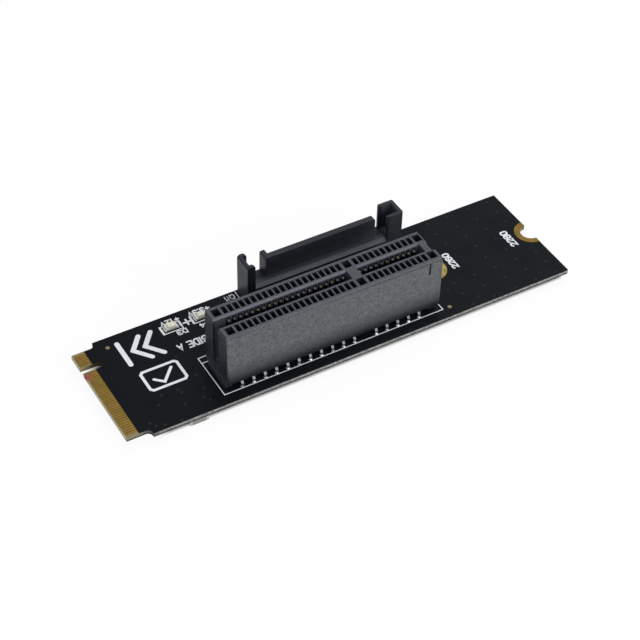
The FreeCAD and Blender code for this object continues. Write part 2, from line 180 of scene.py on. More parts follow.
# Softened pieces: finish, material slot and edge rounding; a name that is no node stands for a pair
SOFTENED = {
    "slot_housing": ("slot", "slot_plastic", 0.045),
    "power_header_housing": ("header", "header_plastic", 0.045),
    "led_base": ("light_base", "light_base", 0.02),
    "led_lens": ("light_lens", "light_lens", 0.06),
    "led_terminals": ("light_ends", "chip_ends", 0.012),
    "resistor_body": ("resistor", "resistor_body", 0.02),
    "resistor_caps": ("chip_ends", "chip_ends", 0.03),
    "capacitor_body": ("capacitor", "capacitor_body", 0.04),
    "capacitor_caps": ("chip_ends", "chip_ends", 0.05),
}
SHORTEST_ROUNDED_EDGE = 0.05
SAME_POINT = 0.0005


def at(x, y, z):
    """A point given in millimetres, in metres."""
    return Vector((x, y, z)) * MM


def along(from_edge):
    """Distance from the contact end of the board, as an X of the card."""
    return EDGE_X + from_edge


# Shader helpers

def add(tree, kind, inputs=(), **settings):
    """A shader node with its settings and its inputs, each input a plain value or another node's output."""
    made = tree.nodes.new(kind)
    for name, value in settings.items():
        setattr(made, name, value)
    for key, value in dict(inputs).items():
        if isinstance(value, bpy.types.NodeSocket):
            tree.links.new(value, made.inputs[key])
        else:
            made.inputs[key].default_value = value
    return made


def math_node(tree, operation, first, second=0.0):
    return add(tree, "ShaderNodeMath", {0: first, 1: second}, operation=operation).outputs[0]


def above(tree, value, level):
    """1 where a value is greater than a level."""
    return math_node(tree, "GREATER_THAN", value, level)


def below(tree, value, level):
    """1 where a value is less than a level."""
    return math_node(tree, "LESS_THAN", value, level)


def size_of(tree, value):
    """A value without its sign."""
    return math_node(tree, "ABSOLUTE", value)


def within(tree, value, middle, reach):
    """1 where a value lies nearer to the middle than the reach."""
    return below(tree, size_of(tree, math_node(tree, "SUBTRACT", value, middle)), reach)


def all_of(tree, first, *others):
    """Product of masks: 1 only where each of them is 1."""
    for mask in others:
        first = math_node(tree, "MULTIPLY", first, mask)
    return first


def any_of(tree, first, *others):
    """Highest of several masks or values."""
    for mask in others:
        first = math_node(tree, "MAXIMUM", first, mask)
    return first


def mix_colours(tree, factor, first, second):
    made = add(tree, "ShaderNodeMix", {0: factor, 6: first, 7: second}, data_type="RGBA")
    return made.outputs[2]


def ramp_value(tree, value, low, high, to_low, to_high):
    made = add(tree, "ShaderNodeMapRange",
               {"Value": value, "From Min": low, "From Max": high, "To Min": to_low, "To Max": to_high})
    return made.outputs[0]


def fade_along(tree, x, stretch, start, end):
    """Value that changes over a stretch measured from the contact end."""
    return ramp_value(tree, x, along(stretch[0]), along(stretch[1]), start, end)


def noise(tree, place, scale, **settings):
    inputs = {"Vector": place, "Scale": scale, **settings}
    return add(tree, "ShaderNodeTexNoise", inputs).outputs[0]


def position(tree):
    """Place on the object in millimetres, as a vector output."""
    place = add(tree, "ShaderNodeTexCoord").outputs["Object"]
    return add(tree, "ShaderNodeVectorMath", {0: place, "Scale": 1.0 / MM}, operation="SCALE").outputs[0]


def axes_of(tree, vector):
    return add(tree, "ShaderNodeSeparateXYZ", {0: vector}).outputs


def face_direction(tree):
    """The three parts of the direction that a face points in."""
    return axes_of(tree, add(tree, "ShaderNodeNewGeometry").outputs["True Normal"])


def colour(red, green, blue):
    return (red, green, blue, 1.0)


# Shared effects

def new_group(name, inputs, outputs):
    """An empty shader node group with named float inputs (name, value) and float outputs."""
    tree = bpy.data.node_groups.new(name, "ShaderNodeTree")
    for label, value in inputs:
        tree.interface.new_socket(label, in_out="INPUT", socket_type="NodeSocketFloat").default_value = value
    for label in outputs:
        tree.interface.new_socket(label, in_out="OUTPUT", socket_type="NodeSocketFloat")
    return tree, tree.nodes.new("NodeGroupInput").outputs, tree.nodes.new("NodeGroupOutput").inputs


def make_surface_grain():
    """Fine grain and soft clouds over a surface, and the height of its small relief."""
    tree, given, put = new_group("SurfaceGrain",
                                 [("Grain Scale", 6.0), ("Cloud Scale", 0.4), ("Grain Share", 0.5)],
                                 ["Tone", "Clouds", "Height"])
    place = position(tree)
    grain = noise(tree, place, given["Grain Scale"], Detail=3.0, Roughness=0.6)
    clouds = noise(tree, place, given["Cloud Scale"], Detail=2.0, Roughness=0.5)
    share = math_node(tree, "MULTIPLY", grain, given["Grain Share"])
    rest = math_node(tree, "MULTIPLY", clouds, math_node(tree, "SUBTRACT", 1.0, given["Grain Share"]))
    tree.links.new(math_node(tree, "ADD", share, rest), put["Tone"])
    tree.links.new(clouds, put["Clouds"])
    tree.links.new(grain, put["Height"])
    return tree


def make_laminate_fibres():
    """Cut glass-fibre layers: streaks that run along an edge and dark specks between them."""
    tree, given, put = new_group("LaminateFibres", [("Layer Scale", 9.0), ("Streak Length", 0.35)],
                                 ["Tone", "Height"])
    place = position(tree)
    x, y, z = axes_of(tree, place)
    stretched = [math_node(tree, "MULTIPLY", part, given["Streak Length"]) for part in (x, y)]
    streak_place = add(tree, "ShaderNodeCombineXYZ", {0: stretched[0], 1: stretched[1], 2: z}).outputs[0]
    streaks = noise(tree, streak_place, given["Layer Scale"], Detail=4.0, Roughness=0.7)
    specks = noise(tree, place, 2.6, Detail=3.0)
    both = math_node(tree, "MULTIPLY", ramp_value(tree, streaks, 0.3, 0.7, 0.0, 1.0),
                     ramp_value(tree, specks, 0.36, 0.60, 0.35, 1.0))
    tree.links.new(both, put["Tone"])
    tree.links.new(streaks, put["Height"])
    return tree


def make_ink_mark():
    """Soft edge of a dab of marker ink on the tongue's corner beside the key notch."""
    tree, given, put = new_group("InkMark", [("Radius", INK_RADIUS)], ["Mark"])
    place = position(tree)
    middle = (along(INK_PLACE[0]), INK_PLACE[1], BOARD_TOP)
    away = add(tree, "ShaderNodeVectorMath", {0: place, 1: middle}, operation="DISTANCE").outputs["Value"]
    ragged = ramp_value(tree, noise(tree, place, 3.0, Detail=2.0), 0.3, 0.7, 0.75, 1.25)
    share = math_node(tree, "DIVIDE", away, math_node(tree, "MULTIPLY", given["Radius"], ragged))
    tree.links.new(ramp_value(tree, share, 0.55, 1.0, 0.85, 0.0), put["Mark"])
    return tree


SURFACE_GRAIN = make_surface_grain()
LAMINATE_FIBRES = make_laminate_fibres()
INK_MARK = make_ink_mark()


def grouped(tree, group, **values):
    """Places a shared group in a material and sets its inputs, named with underscores for spaces."""
    made = tree.nodes.new("ShaderNodeGroup")
    made.node_tree = group
    for name, value in values.items():
        made.inputs[name.replace("_", " ")].default_value = value
    return made.outputs


def new_finish(name, **sockets):
    """A material with only a Principled shader, with plain values set on its own sockets."""
    material = bpy.data.materials.new(name)
    material.use_nodes = True
    tree = material.node_tree
    shader = next(n for n in tree.nodes if n.type == "BSDF_PRINCIPLED")
    for label, value in sockets.items():
        shader.inputs[label.replace("_", " ")].default_value = value
    return material, tree, shader.inputs


def set_roughness(tree, sockets, clouds, low, high):
    """Roughness that drifts with the soft clouds."""
    tree.links.new(ramp_value(tree, clouds, 0.3, 0.7, low, high), sockets["Roughness"])


def set_relief(tree, sockets, height, depth):
    """Bump of a given depth in millimetres."""
    bump = add(tree, "ShaderNodeBump", {"Height": height, "Distance": depth * MM, "Strength": 1.0})
    tree.links.new(bump.outputs[0], sockets["Normal"])


def grainy_finish(name, dark, light, rough, relief, grain, specular=0.5, metallic=0.0):
    """A plain finish whose tone and roughness drift with the surface grain."""
    material, tree, sockets = new_finish(name, Metallic=metallic, Specular_IOR_Level=specular)
    tones = grouped(tree, SURFACE_GRAIN, Grain_Scale=grain[0], Cloud_Scale=grain[1], Grain_Share=grain[2])
    tone = ramp_value(tree, tones["Tone"], 0.32, 0.68, 0.0, 1.0)
    tree.links.new(mix_colours(tree, tone, dark, light), sockets["Base Color"])
    set_roughness(tree, sockets, tones["Clouds"], rough[0], rough[1])
    set_relief(tree, sockets, tones["Height"], relief)
    return material


# Finishes

def mask_tone(tree, x, grain):
    """Near-black mask that is darkest towards the contact end."""
    tone = ramp_value(tree, grain, 0.3, 0.7, 0.0, 1.0)
    even = mix_colours(tree, tone, colour(0.0050, 0.0061, 0.0084), colour(0.0090, 0.0108, 0.0142))
    return mix_colours(tree, fade_along(tree, x, MASK_SHADE, 0.60, 0.0), even, colour(0.0025, 0.0032, 0.0046))


def cut_edge_tone(tree, place, sideways, grain):
    """Cut laminate: dark at the shoulders, olive on the tongue, painted shade in the key notch that deepens
    away from the contact end, and a near-black painted shadow along its foot that stands for the shadow under
    the card.
    """
    x, y, z = place
    tone = mix_colours(tree, grain, colour(0.098, 0.101, 0.096), colour(0.44, 0.450, 0.432))
    shoulder = fade_along(tree, x, SHOULDER_SHADE, 0.70, 0.0)
    tone = mix_colours(tree, shoulder, tone, colour(0.055, 0.055, 0.050))
    tongue_side = fade_along(tree, x, TONGUE_SHADE, 0.85, 0.0)
    tone = mix_colours(tree, tongue_side, tone, colour(0.25, 0.22, 0.14))
    # Painted shadow: the lowest part of the cut edge turns near-black, standing for the shadow under the card
    painted_shadow = ramp_value(tree, z, BOARD_BOTTOM + PAINTED_SHADOW_LINE[0], BOARD_BOTTOM + PAINTED_SHADOW_LINE[1], 0.97, 0.0)
    tone = mix_colours(tree, painted_shadow, tone, colour(0.020, 0.020, 0.020))
    # Painted shade in the key notch: pale olive at the contact end, darkening deeper into the notch
    in_notch = all_of(tree, within(tree, y, KEY_NOTCH_Y, KEY_NOTCH_HALF),
                      below(tree, x, along(KEY_NOTCH_REACH)))
    notch_painted_shade = mix_colours(tree, fade_along(tree, x, NOTCH_SHADE, 0.0, 1.0),
                             colour(0.30, 0.25, 0.14), colour(0.040, 0.030, 0.016))
    tone = mix_colours(tree, in_notch, tone, notch_painted_shade)
    bevel = all_of(tree, below(tree, x, along(BEVEL_REACH)),
                   below(tree, size_of(tree, sideways), TURNED_FACE))
    bevel_tone = mix_colours(tree, grain, colour(0.34, 0.285, 0.175), colour(0.66, 0.61, 0.49))
    return mix_colours(tree, bevel, tone, bevel_tone)


def bare_face_tone(tree, y, grain):
    """Bare laminate between the gold fingers, paler at both sides and beside the key notch."""
    between = mix_colours(tree, grain, colour(0.145, 0.094, 0.022), colour(0.195, 0.127, 0.034))
    beside = any_of(tree, within(tree, y, KEY_NOTCH_Y, BARE_KEY_REACH),
                    above(tree, size_of(tree, y), BARE_SIDE_START))
    return mix_colours(tree, beside, between, colour(0.24, 0.205, 0.105))


def solder_mask_finish():
    """Dark mask on both faces, bare laminate on the cut edges and on the contact end of the tongue."""
    material, tree, sockets = new_finish("solder_mask", Specular_IOR_Level=0.04)
    x, y, z = axes_of(tree, position(tree))
    facing = face_direction(tree)
    on_face = above(tree, size_of(tree, facing[2]), FLAT_FACE)
    masked = all_of(tree, above(tree, x, FINGERS_END_X + BARE_BAND_MARGIN),
                    any_of(tree, on_face, above(tree, z, BOARD_TOP - MASK_LIP)))
    tones = grouped(tree, SURFACE_GRAIN, Grain_Scale=3.2, Cloud_Scale=0.22, Grain_Share=0.35)
    fibres = grouped(tree, LAMINATE_FIBRES, Streak_Length=0.16)

    cut_tone = cut_edge_tone(tree, (x, y, z), facing[1], fibres["Tone"])
    bare_tone = mix_colours(tree, on_face, cut_tone, bare_face_tone(tree, y, tones["Tone"]))
    bare_tone = mix_colours(tree, grouped(tree, INK_MARK)["Mark"], bare_tone, INK)
    board_tone = mix_colours(tree, masked, bare_tone, mask_tone(tree, x, tones["Tone"]))
    tree.links.new(board_tone, sockets["Base Color"])
    smooth = ramp_value(tree, tones["Clouds"], 0.3, 0.7, 0.36, 0.48)
    bare_roughness = math_node(tree, "SUBTRACT", 0.75, masked)
    tree.links.new(any_of(tree, smooth, bare_roughness), sockets["Roughness"])
    fibre_share = math_node(tree, "SUBTRACT", 2.0, masked)
    relief = math_node(tree, "ADD", math_node(tree, "MULTIPLY", tones["Height"], masked),
                       math_node(tree, "MULTIPLY", fibres["Height"], fibre_share))
    set_relief(tree, sockets, relief, 0.004)
    return material


def slot_finish():
    """Grey glass-filled moulding with painted shade: a dim copy on its tops, ends and contact rooms, a less
    dim copy on the tops near the rim, sides that darken towards the board, and a paler card room.
    """
    material, tree, sockets = new_finish("slot_moulding", Specular_IOR_Level=0.42)
    facing = face_direction(tree)
    x, y, z = axes_of(tree, position(tree))
    tones = grouped(tree, SURFACE_GRAIN, Grain_Scale=3.0, Cloud_Scale=0.8, Grain_Share=0.82)
    tone = ramp_value(tree, tones["Tone"], 0.36, 0.64, 0.0, 1.0)
    skin = mix_colours(tree, tone, colour(0.0385, 0.0402, 0.0462), colour(0.099, 0.1015, 0.113))
    # Painted shade and reflection of the dark board: the sides darken towards the board
    low = ramp_value(tree, z, BOARD_TOP + SLOT_LOW_SHADE[0], BOARD_TOP + SLOT_LOW_SHADE[1], 0.95, 0.0)
    skin = mix_colours(tree, low, skin, colour(0.0034, 0.0050, 0.0078))
    # Painted shade: the tops, the ends and the contact rooms take a dimmer copy of the moulding
    painted_shade_tone = mix_colours(tree, tone, colour(0.0125, 0.0160, 0.0230), colour(0.026, 0.031, 0.041))
    level = above(tree, facing[2], TURNED_FACE)
    end = above(tree, size_of(tree, facing[0]), TURNED_FACE)
    dark = any_of(tree, level, end, within(tree, y, SLOT_MID_Y, SLOT_INSIDE))
    moulding = mix_colours(tree, dark, skin, painted_shade_tone)
    # Painted shade, lighter: tops near the slot's top take a less dim copy than those deeper down
    rim = mix_colours(tree, tone, colour(0.0265, 0.0320, 0.0440), colour(0.052, 0.059, 0.075))
    on_rim = all_of(tree, level, above(tree, z, slot_high.z - SLOT_RIM_DEPTH))
    moulding = mix_colours(tree, on_rim, moulding, rim)
    between_ends = within(tree, x, SLOT_MID_X, SLOT_HALF_LENGTH - SLOT_END_WALL)
    card_room = all_of(tree, within(tree, y, SLOT_MID_Y, CARD_ROOM_HALF), between_ends,
                       below(tree, z, slot_high.z - SLOT_LIP_DEPTH))
    moulding = mix_colours(tree, card_room, moulding, colour(0.060, 0.067, 0.086))
    tree.links.new(moulding, sockets["Base Color"])
    set_roughness(tree, sockets, tones["Clouds"], 0.28, 0.38)
    set_relief(tree, sockets, tones["Height"], 0.006)
    return material


def tail_tips(node):
    """Places (x, y) where the strips of a contact row come out under the board, in millimetres."""
    low = [v.co / MM for v in NODES[node].data.vertices if v.co.z < TIP_LEVEL * MM]
    y = sum(p.y for p in low) / len(low)
    places = []
    group = []
    for x in sorted(p.x for p in low):
        if group and x - group[-1] > TIP_GAP:
            places.append((sum(group) / len(group), y))
            group = []
        group.append(x)
    places.append((sum(group) / len(group), y))
    return places


def contact_finish():
    """Dull spring strip with a painted highlight, a small pale spot on the crest where it touches the card,
    and tinned tails.
    """
    material, tree, sockets = new_finish("contact_strip", Metallic=1.0)
    place = position(tree)
    axes = axes_of(tree, place)
    tones = grouped(tree, SURFACE_GRAIN, Grain_Scale=8.0, Cloud_Scale=1.2, Grain_Share=0.5)
    half_pitch = CONTACT_PITCH / 2
    first_x = tail_tips("slot_contacts_back_inner")[0][0]
    from_first = math_node(tree, "SUBTRACT", axes[0], first_x - half_pitch)
    across_strip = math_node(tree, "WRAP", from_first, CONTACT_PITCH)
    uneven = ramp_value(tree, noise(tree, place, 0.6, Detail=1.0), 0.38, 0.60, 0.1, 1.0)
    # Painted highlight: a small pale spot on each strip's bump crest
    painted_highlight = all_of(tree, within(tree, across_strip, half_pitch, HIGHLIGHT_HALF[0]),
                  within(tree, axes[2], slot_high.z - HIGHLIGHT_DEPTH, HIGHLIGHT_HALF[1]), uneven)
    strip = mix_colours(tree, tones["Tone"], colour(0.017, 0.0165, 0.016), colour(0.034, 0.0325, 0.030))
    strip = mix_colours(tree, painted_highlight, strip, colour(0.115, 0.110, 0.102))
    tin = mix_colours(tree, tones["Tone"], colour(0.050, 0.050, 0.050), colour(0.11, 0.11, 0.108))
    tinned = below(tree, axes[2], slot_low.z + TINNED_HEIGHT)
    tree.links.new(mix_colours(tree, tinned, strip, tin), sockets["Base Color"])
    set_roughness(tree, sockets, tones["Clouds"], 0.26, 0.40)
    return material


def gold_finish():
    """Plating of the contacts and the end notch, with the dab of ink at one corner and tinned tails."""
    material, tree, sockets = new_finish("gold_plating")
    tones = grouped(tree, SURFACE_GRAIN, Grain_Scale=9.0, Cloud_Scale=0.8, Grain_Share=0.5)
    tone = ramp_value(tree, tones["Tone"], 0.32, 0.68, 0.0, 1.0)
    plated = mix_colours(tree, tone, colour(0.168, 0.104, 0.022), colour(0.232, 0.148, 0.036))
    tail = below(tree, axes_of(tree, position(tree))[2], BOARD_BOTTOM - 0.1)
    plated = mix_colours(tree, tail, plated, colour(0.34, 0.34, 0.335))
    mark = grouped(tree, INK_MARK)["Mark"]
    tree.links.new(mix_colours(tree, mark, plated, INK), sockets["Base Color"])
    tree.links.new(math_node(tree, "SUBTRACT", 1.0, mark), sockets["Metallic"])
    set_roughness(tree, sockets, tones["Clouds"], 0.30, 0.42)
    set_relief(tree, sockets, tones["Height"], 0.003)
    return material


def header_finish():
    """Black moulding with painted light: paler on its ledge and fading towards the blade, a painted sheen on
    the foot of the blade, and paler in the box tower.
    """
    material, tree, sockets = new_finish("header_moulding", Specular_IOR_Level=0.16)
    facing = face_direction(tree)
    x, y, z = axes_of(tree, position(tree))
    tones = grouped(tree, SURFACE_GRAIN, Grain_Scale=6.0, Cloud_Scale=0.5, Grain_Share=0.4)
    tone = ramp_value(tree, tones["Tone"], 0.32, 0.68, 0.0, 1.0)
    skin = mix_colours(tree, tone, colour(0.0155, 0.0178, 0.0240), colour(0.026, 0.029, 0.037))
    # Painted light: a paler copy of the moulding for the lit ledge, the sheen on the blade's foot and the
    # inside of the box tower
    painted_light_tone = colour(0.080, 0.086, 0.104)
    between = within(tree, x, (LEFT_TOWER_END + RIGHT_TOWER_START) / 2,
                     (RIGHT_TOWER_START - LEFT_TOWER_END) / 2)
    not_ends = below(tree, size_of(tree, facing[0]), TURNED_FACE)
    on_near_side = below(tree, y, header_low.y + LEDGE_REACH + SKIN_MARGIN)
    # Painted light on the ledge, fading towards the blade where it lies in shade
    to_blade = ramp_value(tree, y, header_low.y + LEDGE_SHADE[0], header_low.y + LEDGE_SHADE[1], 0.86, 0.36)
    painted_ledge_light = all_of(tree, above(tree, facing[2], LEDGE_FACE), to_blade)
    # Painted sheen on the foot of the blade, fading upwards
    painted_blade_sheen = ramp_value(tree, z, HEADER_LEDGE, HEADER_LEDGE + BLADE_SHEEN, 0.50, 0.05)
    ledge = below(tree, z, HEADER_LEDGE + SKIN_MARGIN)
    share = add(tree, "ShaderNodeMix", {0: ledge, 2: painted_blade_sheen, 3: painted_ledge_light}).outputs[0]
    skin = mix_colours(tree, all_of(tree, between, not_ends, on_near_side, share), skin, painted_light_tone)
    # Painted light inside the box tower
    box_half = (header_high.x - RIGHT_TOWER_START) / 2 - TOWER_WALL + SKIN_MARGIN
    in_box = all_of(tree, within(tree, y, HEADER_MID_Y, HEADER_HALF - TOWER_WALL + SKIN_MARGIN),
                    within(tree, x, (RIGHT_TOWER_START + header_high.x) / 2, box_half))
    skin = mix_colours(tree, math_node(tree, "MULTIPLY", in_box, 0.45), skin, painted_light_tone)
    tree.links.new(skin, sockets["Base Color"])
    set_roughness(tree, sockets, tones["Clouds"], 0.38, 0.50)
    set_relief(tree, sockets, tones["Height"], 0.004)
    return material


def make_finishes():
    return {
        "board": solder_mask_finish(),
        "contact": contact_finish(),
        "slot": slot_finish(),
        "gold": gold_finish(),
        "worn_gold": grainy_finish("worn_gold_ring", colour(0.17, 0.115, 0.030), colour(0.46, 0.37, 0.135),
                                   (0.30, 0.42), 0.006, (3.0, 1.2, 0.6), metallic=1.0),
        "bare_dot": grainy_finish("bare_dot", colour(0.145, 0.112, 0.050), colour(0.275, 0.225, 0.130),
                                  (0.32, 0.45), 0.004, (6.0, 1.2, 0.6), metallic=1.0),
        "header": header_finish(),
        "solder": grainy_finish("bright_solder", colour(0.26, 0.26, 0.26), colour(0.58, 0.58, 0.575),
                                (0.20, 0.34), 0.006, (5.0, 1.6, 0.4), metallic=1.0),
        "print": grainy_finish("white_print", colour(0.66, 0.70, 0.75), colour(0.80, 0.84, 0.88),
                               (0.55, 0.68), 0.003, (9.0, 1.0, 0.6), specular=0.2),
        "via": grainy_finish("tented_via", colour(0.0080, 0.0092, 0.0112), colour(0.0128, 0.0140, 0.0162),
                             (0.35, 0.45), 0.002, (8.0, 1.0, 0.5), specular=0.1),
        "light_base": grainy_finish("pale_laminate", colour(0.52, 0.50, 0.41), colour(0.66, 0.64, 0.55),
                                    (0.45, 0.58), 0.003, (10.0, 1.5, 0.5), specular=0.3),
        "light_lens": grainy_finish("cloudy_lens", colour(0.70, 0.69, 0.56), colour(0.88, 0.87, 0.75),
                                    (0.24, 0.36), 0.003, (5.0, 1.4, 0.4), specular=0.4),
        "light_ends": grainy_finish("light_terminals", colour(0.44, 0.43, 0.38), colour(0.62, 0.61, 0.56),
                                    (0.30, 0.42), 0.004, (8.0, 1.5, 0.5), metallic=1.0),
        "chip_ends": grainy_finish("tinned_ends", colour(0.34, 0.34, 0.335), colour(0.54, 0.54, 0.53),
                                   (0.24, 0.38), 0.006, (8.0, 1.5, 0.5), metallic=1.0),
        "resistor": grainy_finish("black_glaze", colour(0.010, 0.010, 0.011), colour(0.020, 0.020, 0.022),
                                  (0.25, 0.35), 0.003, (8.0, 1.0, 0.5), specular=0.4),
        "capacitor": grainy_finish("pale_ceramic", colour(0.165, 0.162, 0.150), colour(0.250, 0.243, 0.230),
                                   (0.40, 0.52), 0.004, (7.0, 1.0, 0.5), specular=0.4),
    }


FINISH = make_finishes()


# Mesh helpers

def piece_from(bm, name, finish, replaces=(), smooth_angle=None):
    """Turns a bmesh into a piece that rides on the card."""
    mesh = bpy.data.meshes.new(name)
    bmesh.ops.recalc_face_normals(bm, faces=bm.faces)
    bm.to_mesh(mesh)
    bm.free()
    mesh.materials.append(FINISH[finish])
    if smooth_angle is not None:
        for polygon in mesh.polygons:
            polygon.use_smooth = True
        mesh.set_sharp_from_angle(angle=math.radians(smooth_angle))
    made = bpy.data.objects.new(name, mesh)
    bpy.context.scene.collection.objects.link(made)
    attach(made, ROOT)
    if replaces:
        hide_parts(*replaces)
    return made


def softened(node, finish, width):
    """The node's own form with its sharp edges rounded by a small width."""
    bm = bmesh.new()
    bm.from_mesh(NODES[node].data)
    bmesh.ops.remove_doubles(bm, verts=bm.verts, dist=SAME_POINT * MM)
    turn = math.radians(ROUNDED_ANGLE)
    sharp = [e for e in bm.edges if len(e.link_faces) == 2 and e.calc_face_angle() > turn]
    kept = {v for e in sharp if e.calc_length() < SHORTEST_ROUNDED_EDGE * MM for v in e.verts}
    sharp = [e for e in sharp if kept.isdisjoint(e.verts)]
    rounded = bmesh.ops.bevel(bm, geom=sharp, offset=width * MM, segments=2, profile=0.5, affect="EDGES",
                              clamp_overlap=False)
    for face in rounded["faces"]:
        face.smooth = True
    piece_from(bm, node + "_soft", finish, (node,))


def loft_rings(bm, rings):
    """Closed solid through rings of points that all have the same count."""
    rows = [[bm.verts.new(at(*point)) for point in ring] for ring in rings]
    count = len(rows[0])
    for lower, upper in zip(rows, rows[1:]):
        for k in range(count):
            n = (k + 1) % count
            bm.faces.new((lower[k], lower[n], upper[n], upper[k]))
    bm.faces.new(rows[0][::-1])
    bm.faces.new(rows[-1])


def disc_ring(x, y, z, radius, count):
    angles = [2 * math.pi * k / count for k in range(count)]
    return [(x + radius * math.cos(a), y + radius * math.sin(a), z) for a in angles]


def swept_bar(bm, sections, looped):
    """Closed solid through four-cornered sections, joined end to start where it is looped."""
    rows = [[bm.verts.new(at(*point)) for point in section] for section in sections]
    pairs = list(zip(rows, rows[1:]))
    if looped:
        pairs.append((rows[-1], rows[0]))
    for first, second in pairs:
        for k in range(4):
            n = (k + 1) % 4
            bm.faces.new((first[k], first[n], second[n], second[k]))
    if not looped:
        bm.faces.new(rows[0][::-1])
        bm.faces.new(rows[-1])


def ring_bar(bm, x, y, inner, outer, z0, z1, start=0.0, turn=360.0, count=48):
    """Flat ring or part of a ring, angles in degrees."""
    looped = turn >= 360.0
    steps = count if looped else count + 1
    sections = []
    for k in range(steps):
        a = math.radians(start + turn * k / count)
        sections.append([(x + r * math.cos(a), y + r * math.sin(a), z)
                         for r, z in ((inner, z0), (outer, z0), (outer, z1), (inner, z1))])
    swept_bar(bm, sections, looped)


# Solder

def solder_joint(bm, x, y, way, tip, chance):
    """One concave cone of solder that climbs a tail, up (way 1) or down (way -1) from the board."""
    z = BOARD_TOP if way > 0 else BOARD_BOTTOM
    height = SOLDER_TOP_HEIGHT if way > 0 else SOLDER_UNDER_HEIGHT
    radius = SOLDER_TOP_RADIUS if way > 0 else SOLDER_UNDER_RADIUS
    height *= 1 + chance.uniform(-0.12, 0.12)
    radius *= 1 + chance.uniform(-0.06, 0.06)
    lean_x = chance.uniform(-0.05, 0.05)
    lean_y = chance.uniform(-0.05, 0.05)
    rings = []
    for k in range(SOLDER_RINGS):
        t = k / (SOLDER_RINGS - 1)
        wide = tip + (radius - tip) * (1 - t) ** SOLDER_HOLLOW
        rings.append(disc_ring(x + lean_x * t, y + lean_y * t, z + way * height * t, wide, SOLDER_SEGMENTS))
    loft_rings(bm, rings if way > 0 else rings[::-1])


def solder_row(node, name, way, tip, chance, replaces=()):
    """Solder on every tail of one row of contacts."""
    bm = bmesh.new()
    for x, y in tail_tips(node):
        solder_joint(bm, x, y, way, tip, chance)
    piece_from(bm, name, "solder", replaces, SOLDER_SMOOTH)


def solder_rows():
    """Solder on every tail: bright cones on the top side of the outer rows and taller ones underneath."""
    chance = random.Random(SOLDER_SEED)
    solder_row("slot_contacts_front_outer", "slot_solder_front_smooth", 1, SOLDER_TOP_TIP, chance,
               ("slot_solder_front",))
    solder_row("slot_contacts_back_outer", "slot_solder_back", 1, SOLDER_TOP_TIP, chance)
    for row in SLOT_ROWS:
        solder_row("slot_contacts_" + row, "under_solder_" + row, -1, SOLDER_UNDER_TIP, chance)
    for row in POWER_ROWS:
        solder_row("power_contacts_" + row, "under_solder_power_" + row, -1, POWER_SOLDER_TIP, chance)


def end_fillet(bm, x, y, side, width, height, reach, z, way):
    """Concave wedge of solder against one metal end of a chip part."""
    rings = []
    for k in range(FILLET_RINGS):
        t = k / (FILLET_RINGS - 1)
        swell = 0.55 + 0.45 * math.sin(math.pi * t)
        across = y + width * (t - 0.5)
        ring = [(x, across, z)]
        for i in range(FILLET_STEPS + 1):
            s = i / FILLET_STEPS
            ring.append((x + side * reach * swell * (1 - s), across,
                         z + way * height * swell * s ** FILLET_HOLLOW))
        rings.append(ring)
    loft_rings(bm, rings)


def chip_solder():
    """Solder at both ends of the lights on the top and of the chip parts on the underside."""
    for name, height in FILLET_HEIGHTS.items():
        z, way = (BOARD_TOP, 1) if name.endswith("_terminals") else (BOARD_BOTTOM, -1)
        low, high = node_box(name)
        width = (high.y - low.y) * FILLET_WIDTH_SHARE
        bm = bmesh.new()
        for x, side in ((low.x, -1), (high.x, 1)):
            end_fillet(bm, x, (low.y + high.y) / 2, side, width, height, height * FILLET_REACH_SHARE, z, way)
        part = name.replace("_terminals", "").replace("_caps", "")
        piece_from(bm, part + "_solder", "solder", smooth_angle=SOLDER_SMOOTH)


# Bare copper and covered holes

def copper_details():
    """Rings on the underside, the lining of the screw hole and the two bare alignment dots."""
    under = BOARD_BOTTOM - PLATING
    bm = bmesh.new()
    ring_bar(bm, RING_X, 0, SCREW_RADIUS, RING_RADIUS, under, BOARD_BOTTOM)
    ring_bar(bm, RING_X, 0, SCREW_RADIUS - LINING, SCREW_RADIUS, under, BOARD_TOP + PLATING)
    piece_from(bm, "screw_hole_lining", "gold", smooth_angle=RING_SMOOTH)
    bm = bmesh.new()
    ring_bar(bm, END_X, 0, SCREW_RADIUS, RING_RADIUS, under, BOARD_BOTTOM, 90.0, 180.0, 36)
    piece_from(bm, "end_notch_under_ring", "gold", smooth_angle=RING_SMOOTH)
    bm = bmesh.new()
    for x, y in ALIGNMENT_DOTS:
        levels = (BOARD_TOP, BOARD_TOP + LINING)
        loft_rings(bm, [disc_ring(along(x), y, z, ALIGNMENT_RADIUS, 32) for z in levels])
    piece_from(bm, "alignment_dots", "bare_dot")


def taken(x, y, areas):
    """True where print, parts, holes or solder leave no room for a via; x runs from the contact end."""
    return any(x0 < x < x1 and y0 < y < y1 for x0, x1, y0, y1 in areas)


def vias():
    """Small holes under the mask that show as low domes: a grid at the far end and signal holes elsewhere."""
    grid = [(x, y) for x in VIA_COLUMNS for y in VIA_ROWS if not taken(x, y, TAKEN_ON_TOP)]
    bm = bmesh.new()
    for x, y in grid + SIGNAL_VIAS:
        sides = [(BOARD_TOP, 1)] if taken(x, y, TAKEN_BELOW) else [(BOARD_TOP, 1), (BOARD_BOTTOM, -1)]
        for z, way in sides:
            rings = [disc_ring(along(x), y, z + way * VIA_RISE * h, VIA_RADIUS * r, 16) for h, r in VIA_DOME]
            loft_rings(bm, rings if way > 0 else rings[::-1])
    piece_from(bm, "tented_vias", "via", smooth_angle=SOLDER_SMOOTH)


# Print

PRINT_RISE = 0.02
STROKE_STEP = 0.15
ROUND_END = [(math.sin(math.radians(a)), math.cos(math.radians(a))) for a in (78, 52, 26)]

